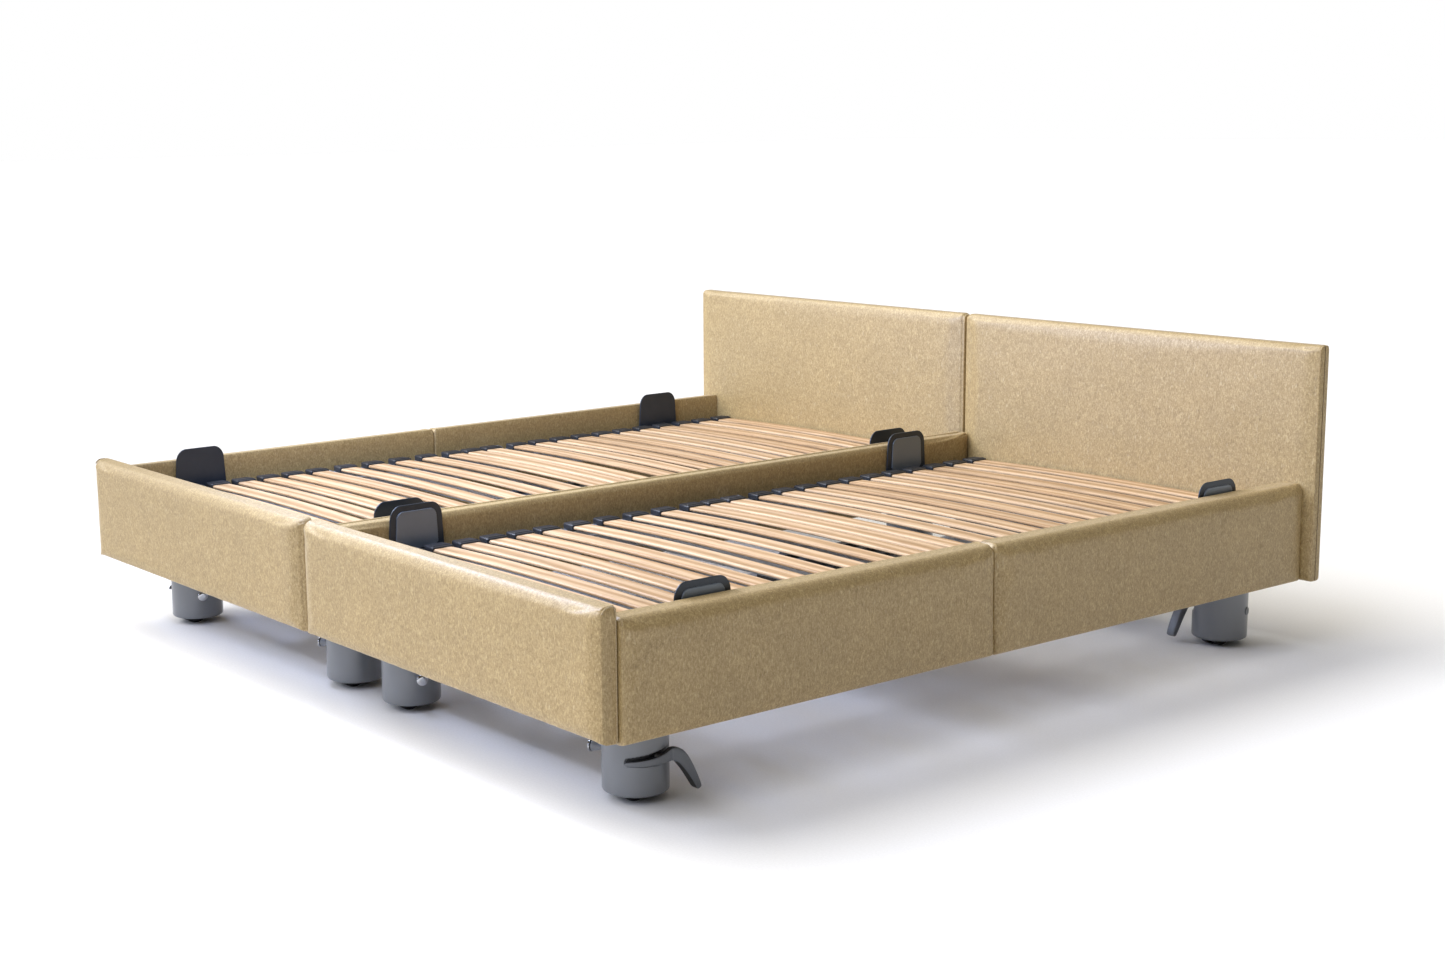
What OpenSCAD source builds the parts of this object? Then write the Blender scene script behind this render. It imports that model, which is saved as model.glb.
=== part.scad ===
// Adjustable double bed base: two motorised single bases side by side, each with its own
// upholstered surround, four-section slatted surface, lifting columns and castored legs.
// The right base is drawn in full and the left base is its mirror image.

/* [Bed] */
// Width of one mattress
mattress_w = 1000; // [900:10:1100]
// Length of the whole bed from foot panel to the back of the headboard
bed_l = 2140; // [2120:10:2240]
// Height of the headboard's top edge above the floor
headboard_top = 742; // [600:10:1000]
// How far the lifting columns raise the surface
lift_travel = 320; // [200:10:320]

/* [Upholstery] */
// Height of the panels' lower edge above the floor
panel_bottom = 170; // [170:1:180]
// Height of the foot panel's top edge
foot_panel_top = 433; // [400:1:480]
// Height of the side panels' top edge
side_panel_top = 411; // [400:1:450]
// Thickness of the foot panel and the headboard
end_panel_t = 40; // [30:1:40]
// Thickness of the outer side panels
side_panel_t = 54; // [40:1:60]
// Thickness of the side panels between the two mattresses
inner_panel_t = 28; // [20:1:28]

/* [Legs and castors] */
// Outer radius of the round leg covers
cover_r = 65.5; // [65:0.5:70]
// Radius of the twin castor wheels
wheel_r = 35; // [30:1:36]
// Distance of the castor's axle behind its swivel axis
castor_trail = 16; // [10:1:18]

/* [Slats] */
// Width of one slat
slat_w = 50; // [35:1:55]
// Thickness of one slat
slat_t = 8; // [6:1:9]

/* [Hidden] */
$fn = 48;
eps = 0.01;
play = 0.05;        // radial running clearance of pins and shafts
gap = 4;            // between the two bases

// Widths, measured from the middle of the double bed outwards
inner_x0 = gap / 2;
inner_x1 = inner_x0 + inner_panel_t;
rail_w = 30;
rail_x0 = inner_x1 + 10;
rail_x1 = rail_x0 + rail_w;
rail_x3 = inner_x1 + 5 + mattress_w;
rail_x2 = rail_x3 - rail_w;
side_x0 = rail_x3 + 11;
side_x1 = side_x0 + side_panel_t;
foot_panel_x1 = side_x1 - 15;
headboard_x1 = side_x1 + 25;
mid_x = (rail_x0 + rail_x3) / 2;

// Lengths, measured from the front of the foot panel
frame_y0 = end_panel_t + 4;
head_y = bed_l - end_panel_t;
frame_y1 = head_y - 6;
foot_leg_y = 200;
head_leg_y = head_y - 77;
leg_xs = [122, side_x1 - 170];
back_pivot_y = 1230;
thigh_pivot_y = 1000;
calf_pivot_y = 650;
back_end_y = frame_y1 - 9;
calf_end_y = frame_y0 + 11;

// Heights above the floor
beam_z0 = 176;
beam_z1 = 216;
inner_panel_z0 = 222;
rail_z0 = 264;
rail_z1 = 304;
section_z0 = 312;
section_z1 = 332;
pivot_z = (section_z0 + section_z1) / 2;
slat_z0 = section_z1 + 1;

// Lifting columns: outer size of each tube and where it starts
column_w = [110, 101, 92];
column_d = [90, 81, 72];
column_wall = 4;
column_z0 = [88, 92, 96];
column_ys = [foot_leg_y + 75, head_leg_y - 75];

// Drive: levers hang from the two shafts into a slot in the drive's housing
lever_l = 90;
lever_t = 20;
roller_r = 12;
shaft_r = 12;
hinge_r = 10;
back_lean = 35;
thigh_lean = 17.5;
drive_y0 = 900;
drive_y1 = 1325;
drive_z0 = 215;
drive_z1 = 300;
slot_w = 40;

// Section tubes
tube_w = 20;
wide_x = [rail_x1 - 8, rail_x2 + 8 - tube_w];
narrow_x = [wide_x[0] + tube_w + 2, wide_x[1] - tube_w - 2];
slat_x0 = wide_x[0] + 6;
slat_x1 = wide_x[1] + tube_w - 6;

// Castors and brakes
cover_z0 = 12;
cover_z1 = beam_z0;
cover_cavity_r = 58;
groove_depth = 4.5;
stem_r = 8;
socket_r = 17;
brake_z = 96;
stub_z = 86;
stub_turn = 18;

BED_PARTS = ["column_mids", "lying_frame", "foot_panel", "side_panel_foot", "side_panel_head",
    "inner_panel", "headboard", "dual_drive", "back_pusher", "thigh_pusher", "seat_slats",
    "back_frame", "back_slats", "back_retainers", "thigh_frame", "thigh_slats",
    "calf_frame", "calf_slats", "calf_retainers"];
LEGS = ["foot_inner", "foot_outer", "head_inner", "head_outer"];
BRAKED = ["foot_outer", "head_outer"];
SIDES = ["left", "right"];
NODES = [
    "chassis", "leg_covers",
    for (s = SIDES) for (p = BED_PARTS) str(s, "_", p),
    for (s = SIDES) for (l = LEGS) str(s, "_", l, "_fork"),
    for (s = SIDES) for (l = LEGS) str(s, "_", l, "_wheels"),
    for (s = SIDES) for (l = BRAKED) str(s, "_", l, "_pedal"),
];
node = "all";

function shown(name) = node == "all" || node == name;
function leg_x(leg) = leg_xs[search([leg], LEGS)[0] % 2];
function leg_y(leg) = search([leg], LEGS)[0] < 2 ? foot_leg_y : head_leg_y;

// Places its children, drawn for the right base with y from the foot panel, on one base
module on_base(side) {
    mirror([side == "left" ? 1 : 0, 0, 0])
        translate([0, -bed_l / 2, 0])
            children();
}

module at_leg(leg) {
    translate([leg_x(leg), leg_y(leg), 0]) children();
}

module block(low, high) {
    translate(low) cube(high - low);
}

// Steel channels, open below and at both ends, that run along x or along y
module channel_x(low, high, wall) {
    difference() {
        block(low, high);
        block([low[0] - 1, low[1] + wall, low[2] - 1], [high[0] + 1, high[1] - wall, high[2] - wall]);
    }
}

module channel_y(low, high, wall) {
    difference() {
        block(low, high);
        block([low[0] + wall, low[1] - 1, low[2] - 1], [high[0] - wall, high[1] + 1, high[2] - wall]);
    }
}

module rod_x(r, x0, x1, y, z) {
    translate([x0, y, z]) rotate([0, 90, 0]) cylinder(r = r, h = x1 - x0);
}

// Rectangle with round corners, as exact lines and arcs
module round_rect(w, h, r) {
    translate([r, 0]) square([w - 2 * r, h]);
    translate([0, r]) square([w, h - 2 * r]);
    for (x = [r, w - r]) for (y = [r, h - r]) translate([x, y]) circle(r);
}

// ---------- Upholstered surround ----------

// Padded panel that runs across the bed, with round top and bottom edges
module cross_panel(x0, x1, y0, z0, z1, edge) {
    translate([x0, y0, z0])
        rotate([90, 0, 90])
            linear_extrude(x1 - x0)
                round_rect(end_panel_t, z1 - z0, edge);
}

// Padded panel that runs along the bed
module long_panel(x0, x1, y0, y1, z0, z1, edge) {
    translate([x0, y1, z0])
        rotate([90, 0, 0])
            linear_extrude(y1 - y0)
                round_rect(x1 - x0, z1 - z0, edge);
}

module foot_panel() {
    color("tan") cross_panel(inner_x0, foot_panel_x1, 0, panel_bottom + 2, foot_panel_top, 12);
}

module headboard() {
    color("tan") cross_panel(inner_x0, headboard_x1, head_y, panel_bottom, headboard_top, 12);
}

side_joint_shift = 44;
side_joint_y = (end_panel_t + head_y) / 2 - side_joint_shift;

module side_panel_foot() {
    color("tan")
        long_panel(side_x0, side_x1, end_panel_t + 1, side_joint_y - 1, panel_bottom - 2, side_panel_top, 14);
}

module side_panel_head() {
    color("tan")
        long_panel(side_x0, side_x1, side_joint_y + 1, head_y - 2, panel_bottom - 2, side_panel_top, 14);
}

module inner_panel() {
    color("tan")
        long_panel(inner_x0, inner_x1, end_panel_t + 1, head_y - 2, inner_panel_z0, side_panel_top, 9);
}

// ---------- Lying surface ----------

module hinge_plate(x, y) {
    difference() {
        union() {
            block([x, y - 20, rail_z1 - 2], [x + 8, y + 20, pivot_z]);
            rod_x(20, x, x + 8, y, pivot_z);
        }
        rod_x(shaft_r + play, x - 1, x + 9, y, pivot_z);
    }
}

module column_top_tube(y) {
    i = 2;
    difference() {
        block([mid_x - column_w[i] / 2, y - column_d[i] / 2, column_z0[i]],
              [mid_x + column_w[i] / 2, y + column_d[i] / 2, rail_z1]);
        block([mid_x - column_w[i] / 2 + column_wall, y - column_d[i] / 2 + column_wall, column_z0[i] - 1],
              [mid_x + column_w[i] / 2 - column_wall, y + column_d[i] / 2 - column_wall, rail_z1 - 8]);
    }
}

// Corner roller that keeps the panels off a wall
module bumper(x, y) {
    translate([x, y, 0]) {
        translate([0, 0, 160]) cylinder(r = 28, h = 16);
        translate([0, 0, 175]) cylinder(r = 7, h = rail_z1 - 177);
    }
}

module lying_frame() {
    color("silver") {
        for (x = [rail_x0, rail_x2])
            channel_y([x, frame_y0, rail_z0], [x + rail_w, frame_y1, rail_z1], 3);
        for (y = [frame_y0, drive_y0 - 20, drive_y1, frame_y1 - 20])
            channel_x([rail_x1 - 1, y, rail_z0 + 4], [rail_x2 + 1, y + 20, rail_z1 - 4], 2.5);
        for (y = column_ys) {
            for (dy = [-75, 50])
                channel_x([rail_x1 - 1, y + dy, rail_z0 + 4], [rail_x2 + 1, y + dy + 25, rail_z1 - 4], 2.5);
            block([mid_x - 80, y - 75, rail_z1 - 5], [mid_x + 80, y + 75, rail_z1 + 2]);
            column_top_tube(y);
        }
        for (y = [back_pivot_y, thigh_pivot_y])
            for (x = [rail_x0 + 6, rail_x3 - 14])
                hinge_plate(x, y);
        // Rests under the ends of the moving sections
        for (y = [calf_end_y + 25, calf_pivot_y + 60, back_end_y - 25])
            for (x = [rail_x1 - 6, rail_x2 - 6])
                block([x, y - 12, rail_z1 - 2], [x + 12, y + 12, section_z0 - 0.4]);
        // Tabs that carry the panels
        for (x = [250, 800]) {
            block([x, end_panel_t, 272], [x + 60, frame_y0 + 1, 296]);
            block([x, frame_y1 - 1, 272], [x + 60, head_y, 296]);
        }
        for (y = [300, 800, 1300, 1800]) {
            block([rail_x3 - 1, y, 272], [side_x0, y + 60, 296]);
            block([inner_x1, y, 272], [rail_x0 + 1, y + 60, 296]);
        }
        // Raised bearers under the seat slats, between the two hinge lines
        for (x = wide_x)
            block([x, thigh_pivot_y + 22, rail_z1 - 1], [x + tube_w, back_pivot_y - 22, section_z1]);
        bumper(foot_panel_x1 - 70, 70);
        bumper(side_x1 - 85, head_y - 32);
    }
}

// Slats of one section, spread evenly between two lengths
module slats(y0, y1, count) {
    step = (y1 - y0 - slat_w) / (count - 1);
    color("burlywood")
        for (i = [0 : count - 1])
            block([slat_x0, y0 + i * step, slat_z0], [slat_x1, y0 + i * step + slat_w, slat_z0 + slat_t]);
}

// Lever with a fixed roller, hanging from a shaft and leaning along the bed
module lever(y, lean) {
    translate([mid_x - lever_t / 2, y, pivot_z])
        rotate([lean, 0, 0]) {
            translate([0, -9, -lever_l]) cube([lever_t, 18, lever_l]);
            translate([0, 0, -lever_l]) rotate([0, 90, 0]) cylinder(r = roller_r, h = lever_t);
        }
}

module section_tube(x, y0, y1) {
    block([x, y0, section_z0], [x + tube_w, y1, section_z1]);
}

module section_bar(y) {
    block([wide_x[0] + 1, y, section_z0], [wide_x[1] + tube_w - 1, y + tube_w, section_z1]);
}

module back_frame() {
    color("silver") {
        for (x = wide_x) section_tube(x, back_pivot_y, back_end_y);
        section_bar(back_end_y - tube_w);
        section_bar((back_pivot_y + back_end_y) / 2);
        rod_x(shaft_r, rail_x0 + 4, rail_x3 - 4, back_pivot_y, pivot_z);
        lever(back_pivot_y, -back_lean);
    }
}

module thigh_frame() {
    color("silver")
        difference() {
            union() {
                for (x = wide_x) {
                    section_tube(x, calf_pivot_y, thigh_pivot_y);
                    rod_x(16, x, x + tube_w, calf_pivot_y, pivot_z);
                }
                section_bar((calf_pivot_y + thigh_pivot_y) / 2);
                rod_x(shaft_r, rail_x0 + 4, rail_x3 - 4, thigh_pivot_y, pivot_z);
                lever(thigh_pivot_y, thigh_lean);
            }
            for (x = wide_x) rod_x(hinge_r + play, x - 1, x + tube_w + 1, calf_pivot_y, pivot_z);
        }
}

module calf_frame() {
    color("silver") {
        for (x = narrow_x) section_tube(x, calf_end_y, calf_pivot_y);
        block([narrow_x[0] + 1, calf_end_y, section_z0], [narrow_x[1] + tube_w - 1, calf_end_y + tube_w, section_z1]);
        block([narrow_x[0] + 1, 350, section_z0], [narrow_x[1] + tube_w - 1, 350 + tube_w, section_z1]);
        rod_x(hinge_r, wide_x[0] - 4, wide_x[1] + tube_w + 4, calf_pivot_y, pivot_z);
    }
}

// Upright plate with a round-cornered top that holds the mattress in place, on a flat arm
module retainer(x_plate, x_tube, y) {
    plate_w = 150;
    plate_t = 6;
    top = side_panel_top + 27;
    arm_x = [min(x_plate, x_tube), max(x_plate + plate_t, x_tube)];
    block([arm_x[0], y + 30, section_z0 + 2], [arm_x[1], y + plate_w - 30, section_z0 + 7]);
    translate([x_plate, y, section_z0 + 2])
        rotate([90, 0, 90])
            union() {
                linear_extrude(plate_t - 2) {
                    square([plate_w, 60]);
                    round_rect(plate_w, top - section_z0 - 2, 34);
                }
                linear_extrude(plate_t)
                    translate([20, 20]) round_rect(plate_w - 40, top - section_z0 - 42, 18);
            }
}

module retainer_pair(y, tube_x) {
    color("slategray") {
        retainer(rail_x3 + 1, tube_x[1] + tube_w, y);
        retainer(inner_x1 + 2, tube_x[0], y);
    }
}

module back_slats() {
    slats(back_pivot_y + 20, back_end_y, 11);
}

module thigh_slats() {
    slats(calf_pivot_y + 20, thigh_pivot_y - 16, 4);
}

module seat_slats() {
    slats(thigh_pivot_y + 24, back_pivot_y - 24, 3);
}

module calf_slats() {
    slats(calf_end_y, calf_pivot_y - 20, 8);
}

module back_retainers() {
    retainer_pair(1770, wide_x);
}

module calf_retainers() {
    retainer_pair(205, narrow_x);
}

// ---------- Drive of the back and thigh sections ----------

drive_cy = (drive_y0 + drive_y1) / 2;
back_tip_y = back_pivot_y - lever_l * sin(back_lean);
thigh_tip_y = thigh_pivot_y + lever_l * sin(thigh_lean);

module dual_drive() {
    color("dimgray") {
        difference() {
            union() {
                block([mid_x - 45, drive_y0, drive_z0], [mid_x + 45, drive_y1, drive_z1]);
                block([mid_x - 80, drive_cy - 90, drive_z0], [mid_x + 80, drive_cy + 90, drive_z1 - 10]);
            }
            block([mid_x - slot_w / 2, drive_y0 + 15, drive_z0 + 4],
                  [mid_x + slot_w / 2, drive_y1 - 13, drive_z1 + 1]);
        }
        // Motors, one on each side
        rod_x(32, mid_x + 79, mid_x + 170, drive_cy, drive_z0 + 42);
        rod_x(32, mid_x - 170, mid_x - 79, drive_cy, drive_z0 + 42);
        // Control unit with its mains and handset sockets
        difference() {
            block([mid_x + 79, drive_cy + 40, drive_z0 + 15], [mid_x + 149, drive_cy + 90, drive_z1 - 15]);
            translate([mid_x + 114, drive_cy + 65, drive_z0 + 14]) cylinder(r = 9, h = 9);
        }
    }
}

module pusher(y0, y1, h) {
    block([mid_x - slot_w / 2 + 1, y0, drive_z0 + 9], [mid_x + slot_w / 2 - 1, y1, drive_z0 + 9 + h]);
}

module back_pusher() {
    color("goldenrod") pusher(back_tip_y - roller_r - 1.6 - 48, back_tip_y - roller_r - 1.6, 26);
}

module thigh_pusher() {
    color("goldenrod") pusher(thigh_tip_y + roller_r + 0.8, thigh_tip_y + roller_r + 0.8 + 35, 18);
}

// ---------- Lifting columns and chassis ----------

module column_tube(i, y, top) {
    w = column_w[i];
    d = column_d[i];
    difference() {
        block([mid_x - w / 2, y - d / 2, column_z0[i]], [mid_x + w / 2, y + d / 2, top]);
        block([mid_x - w / 2 + column_wall, y - d / 2 + column_wall, column_z0[i] - 1],
              [mid_x + w / 2 - column_wall, y + d / 2 - column_wall, top + 1]);
    }
}

module column_mids() {
    color("silver") for (y = column_ys) column_tube(1, y, rail_z1 - 6);
}

module chassis_side() {
    beam_x0 = leg_xs[0] - 45;
    beam_x1 = leg_xs[1] + 45;
    color("silver") {
        for (y = [foot_leg_y, head_leg_y])
            channel_x([beam_x0, y - 25, beam_z0], [beam_x1, y + 25, beam_z1], 3);
        for (x = [mid_x - 226, mid_x + 196])
            channel_y([x, foot_leg_y + 24, beam_z0 + 4], [x + 30, head_leg_y - 24, beam_z1 - 4], 3);
        for (y = column_ys) column_tube(0, y, rail_z1 - 12);
        // Column saddles
        for (y = [foot_leg_y + 24, head_leg_y - 30])
            block([mid_x - 70, y, beam_z0], [mid_x + 70, y + 6, beam_z1]);
    }
}

// Coupling plates that hold the two bases together under the middle
module coupling(y) {
    color("silver")
        translate([-leg_xs[0] + 43, y - bed_l / 2 - 25, beam_z0 + 8])
            cube([2 * leg_xs[0] - 86, 50, 26]);
}

module chassis() {
    for (side = SIDES) on_base(side) chassis_side();
    for (y = [foot_leg_y, head_leg_y]) coupling(y);
}

// ---------- Legs, castors and brakes ----------

// Flared stub with a domed cap, pointing along +X
module cover_stub() {
    translate([cover_r - 2, 0, stub_z]) rotate([0, 90, 0]) cylinder(r1 = 6, r2 = 10.5, h = 36);
    translate([cover_r + 34, 0, stub_z]) rotate([0, 90, 0]) cylinder(r1 = 12.5, r2 = 10, h = 5);
}

module cover_button() {
    translate([cover_r - 2, 0, stub_z]) rotate([0, 90, 0]) cylinder(r = 10, h = 5);
}

// Post up into the crossbeam, bored for the stem of the castor
module leg_socket() {
    bore_top = cover_z1 - 8;
    difference() {
        translate([0, 0, 106]) cylinder(r = socket_r, h = beam_z1 - 109);
        translate([0, 0, 105]) cylinder(r = stem_r + play, h = bore_top - 105);
    }
}

// Round leg cover; braked covers have a groove and a bore for the pedal on their +X side
module leg_cover(braked) {
    difference() {
        union() {
            translate([0, 0, cover_z0 + 4]) cylinder(r = cover_r, h = cover_z1 - cover_z0 - 4);
            translate([0, 0, cover_z0]) cylinder(r1 = cover_r - 3, r2 = cover_r, h = 4 + eps);
        }
        translate([0, 0, cover_z0 - 1]) cylinder(r = cover_cavity_r, h = cover_z1 - cover_z0 - 5);
        if (braked) {
            rotate([0, 0, -64])
                rotate_extrude(angle = 128)
                    translate([cover_r - groove_depth, 72]) square([8, 46]);
            rod_x(7 + play, cover_cavity_r - 5, cover_r + 1, 0, brake_z);
        }
    }
    leg_socket();
}

module leg_cover_at(leg) {
    outer = leg == "foot_outer" || leg == "head_outer";
    foot = leg == "foot_inner" || leg == "foot_outer";
    braked = outer;
    inward = outer ? 180 : 0;
    at_leg(leg) {
        rotate([0, 0, foot ? 0 : 180]) leg_cover(braked);
        if (foot) rotate([0, 0, inward + (outer ? stub_turn : -stub_turn)]) cover_stub();
        else rotate([0, 0, inward + 180 + (outer ? stub_turn : -stub_turn)]) cover_button();
    }
}

module leg_covers() {
    color("lightslategray")
        for (side = SIDES) for (leg = LEGS)
            on_base(side) leg_cover_at(leg);
}

// Swivelling castor body between the wheels, with its stem in the leg's socket
module fork() {
    color("dimgray") {
        difference() {
            union() {
                rod_x(13, -6, 6, -castor_trail, wheel_r);
                block([-6, -castor_trail - 12, wheel_r], [6, 14, 78]);
                translate([0, 0, 76]) cylinder(r = 28, h = 14);
            }
            rod_x(4 + play, -7, 7, -castor_trail, wheel_r);
        }
        translate([0, 0, 88]) cylinder(r = 14, h = 12);
        translate([0, 0, 99]) cylinder(r = stem_r, h = 66);
    }
}

module wheels() {
    color("black") {
        for (x = [-23.5, 7.5])
            translate([x, -castor_trail, wheel_r]) rotate([0, 90, 0]) {
                cylinder(r = wheel_r - 2, h = 16);
                translate([0, 0, 2]) cylinder(r = wheel_r, h = 12);
            }
        rod_x(4, -8, 8, -castor_trail, wheel_r);
    }
}

// Brake pedal: band around the leg, hinge pin through the cover, and a foot plate that slopes down
module pedal() {
    color("slategray") {
        rotate([0, 0, -27])
            rotate_extrude(angle = 57)
                translate([cover_r + 0.8, brake_z - 11]) square([13, 20]);
        rod_x(7, cover_cavity_r - 3, cover_r + 4, 0, brake_z);
        translate([cover_r - 8, 0, 0])
            rotate([90, 0, 90])
                linear_extrude(26)
                    polygon([[30, brake_z - 9], [36, brake_z + 9], [46, brake_z + 8], [98, 20], [92, 13], [84, 16]]);
    }
}

module pedal_at(leg) {
    at_leg(leg) rotate([0, 0, leg == "head_outer" ? 180 : 0]) pedal();
}

// ---------- Nodes ----------

if (shown("chassis")) chassis();
if (shown("leg_covers")) leg_covers();
for (side = SIDES) on_base(side) {
    if (shown(str(side, "_column_mids"))) column_mids();
    if (shown(str(side, "_lying_frame"))) lying_frame();
    if (shown(str(side, "_foot_panel"))) foot_panel();
    if (shown(str(side, "_side_panel_foot"))) side_panel_foot();
    if (shown(str(side, "_side_panel_head"))) side_panel_head();
    if (shown(str(side, "_inner_panel"))) inner_panel();
    if (shown(str(side, "_headboard"))) headboard();
    if (shown(str(side, "_dual_drive"))) dual_drive();
    if (shown(str(side, "_back_pusher"))) back_pusher();
    if (shown(str(side, "_thigh_pusher"))) thigh_pusher();
    if (shown(str(side, "_seat_slats"))) seat_slats();
    if (shown(str(side, "_back_frame"))) back_frame();
    if (shown(str(side, "_back_slats"))) back_slats();
    if (shown(str(side, "_back_retainers"))) back_retainers();
    if (shown(str(side, "_thigh_frame"))) thigh_frame();
    if (shown(str(side, "_thigh_slats"))) thigh_slats();
    if (shown(str(side, "_calf_frame"))) calf_frame();
    if (shown(str(side, "_calf_slats"))) calf_slats();
    if (shown(str(side, "_calf_retainers"))) calf_retainers();
    for (leg = LEGS) {
        if (shown(str(side, "_", leg, "_fork"))) at_leg(leg) fork();
        if (shown(str(side, "_", leg, "_wheels"))) at_leg(leg) wheels();
    }
    for (leg = BRAKED)
        if (shown(str(side, "_", leg, "_pedal"))) pedal_at(leg);
}
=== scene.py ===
"""Looks of the adjustable double bed base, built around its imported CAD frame."""

import math

import bmesh
import bpy
import numpy as np
from mathutils import Matrix, Vector, noise


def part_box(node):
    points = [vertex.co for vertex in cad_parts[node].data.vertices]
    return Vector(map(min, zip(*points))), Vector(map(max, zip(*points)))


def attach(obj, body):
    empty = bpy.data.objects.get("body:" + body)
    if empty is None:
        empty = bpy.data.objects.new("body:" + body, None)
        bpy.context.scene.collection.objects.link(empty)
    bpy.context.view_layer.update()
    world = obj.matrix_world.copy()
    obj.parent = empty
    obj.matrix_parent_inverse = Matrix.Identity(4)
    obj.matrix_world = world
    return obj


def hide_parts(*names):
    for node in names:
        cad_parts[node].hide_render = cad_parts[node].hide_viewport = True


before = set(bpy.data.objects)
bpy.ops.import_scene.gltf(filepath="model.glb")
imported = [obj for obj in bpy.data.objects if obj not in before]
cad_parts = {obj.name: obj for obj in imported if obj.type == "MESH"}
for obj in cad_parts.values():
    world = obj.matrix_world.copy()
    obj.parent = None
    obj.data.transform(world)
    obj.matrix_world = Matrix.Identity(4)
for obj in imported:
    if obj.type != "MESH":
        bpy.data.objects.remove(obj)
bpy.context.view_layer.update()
# Sign of x on each side, and y of the foot end
SIDES = {"right": 1, "left": -1}
FOOT_Y = -1.07


# ---------- Camera and studio ----------

IMAGE_WIDTH = 1445
FOCAL_WIDTHS = 2072.3 / IMAGE_WIDTH
SHIFT_X = 120 / IMAGE_WIDTH
SENSOR_MM = 36
CAMERA_AT = (3.949, -2.164 + FOOT_Y, 1.301)
AZIMUTH, ELEVATION, ROLL = 52.77, 10.10, -0.82


def make_camera():
    """Camera at the photograph's viewing angle."""
    az, el, roll = math.radians(AZIMUTH), math.radians(ELEVATION), math.radians(ROLL)
    fwd = Vector((-math.sin(az) * math.cos(el), math.cos(az) * math.cos(el), -math.sin(el)))
    right = Vector((math.cos(az), math.sin(az), 0))
    up = right.cross(fwd)
    r2 = math.cos(roll) * right + math.sin(roll) * up
    u2 = -math.sin(roll) * right + math.cos(roll) * up
    cam = bpy.data.objects.new("camera", bpy.data.cameras.new("camera"))
    bpy.context.scene.collection.objects.link(cam)
    rot = Matrix((r2, u2, -fwd)).transposed()
    cam.matrix_world = Matrix.Translation(CAMERA_AT) @ rot.to_4x4()
    cam.data.sensor_width = SENSOR_MM
    cam.data.lens = SENSOR_MM * FOCAL_WIDTHS
    cam.data.shift_x = SHIFT_X
    bpy.context.scene.camera = cam


def area_light(name, loc, target, size, power, colour):
    """Rectangular softbox at loc, aimed at target and unseen by the camera."""
    data = bpy.data.lights.new(name, "AREA")
    data.shape = "RECTANGLE"
    data.size, data.size_y = size
    data.energy = power
    data.color = colour
    o = bpy.data.objects.new(name, data)
    bpy.context.scene.collection.objects.link(o)
    o.location = loc
    o.visible_camera = False
    aim = Vector(target) - o.location
    o.rotation_euler = aim.to_track_quat("-Z", "Y").to_euler()


def sun_light(name, source, strength, spread, colour):
    """Light from a far, wide source. source is the direction that it comes from."""
    data = bpy.data.lights.new(name, "SUN")
    data.energy = strength
    data.angle = math.radians(spread)
    data.color = colour
    o = bpy.data.objects.new(name, data)
    bpy.context.scene.collection.objects.link(o)
    o.rotation_euler = Vector(source).to_track_quat("Z", "Y").to_euler()


# Strength of the sky, its part at the horizon, and how much brighter it is to the left
SKY, SKY_HORIZON, SKY_LEFT = 0.8, 0.03, 0.6
FLOOR_HALF = 60


def make_world():
    """White to the camera; as a light it is bright overhead and dim near the horizon."""
    world = bpy.data.worlds.new("studio")
    bpy.context.scene.world = world
    world.use_nodes = True
    nt = world.node_tree
    nt.nodes.clear()
    out = nt.nodes.new("ShaderNodeOutputWorld")
    mix = nt.nodes.new("ShaderNodeMixShader")
    path = nt.nodes.new("ShaderNodeLightPath")
    tc = nt.nodes.new("ShaderNodeTexCoord")
    sep = nt.nodes.new("ShaderNodeSeparateXYZ")
    nt.links.new(tc.outputs["Generated"], sep.inputs[0])
    height = math_node(nt, "MAXIMUM", sep.outputs[2], 0.0)
    left = math_node(nt, "MULTIPLY", sep.outputs[0], -SKY_LEFT)
    level = math_node(nt, "MULTIPLY", math_node(nt, "ADD", height, SKY_HORIZON), SKY)
    level = math_node(nt, "MULTIPLY", level, math_node(nt, "ADD", left, 1.0))
    fill = nt.nodes.new("ShaderNodeBackground")
    fill.inputs["Color"].default_value = (1.0, 0.975, 0.92, 1)
    nt.links.new(level, fill.inputs["Strength"])
    seen = nt.nodes.new("ShaderNodeBackground")
    seen.inputs["Color"].default_value = (1, 1, 1, 1)
    nt.links.new(path.outputs["Is Camera Ray"], mix.inputs[0])
    nt.links.new(fill.outputs[0], mix.inputs[1])
    nt.links.new(seen.outputs[0], mix.inputs[2])
    nt.links.new(mix.outputs[0], out.inputs[0])


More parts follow.
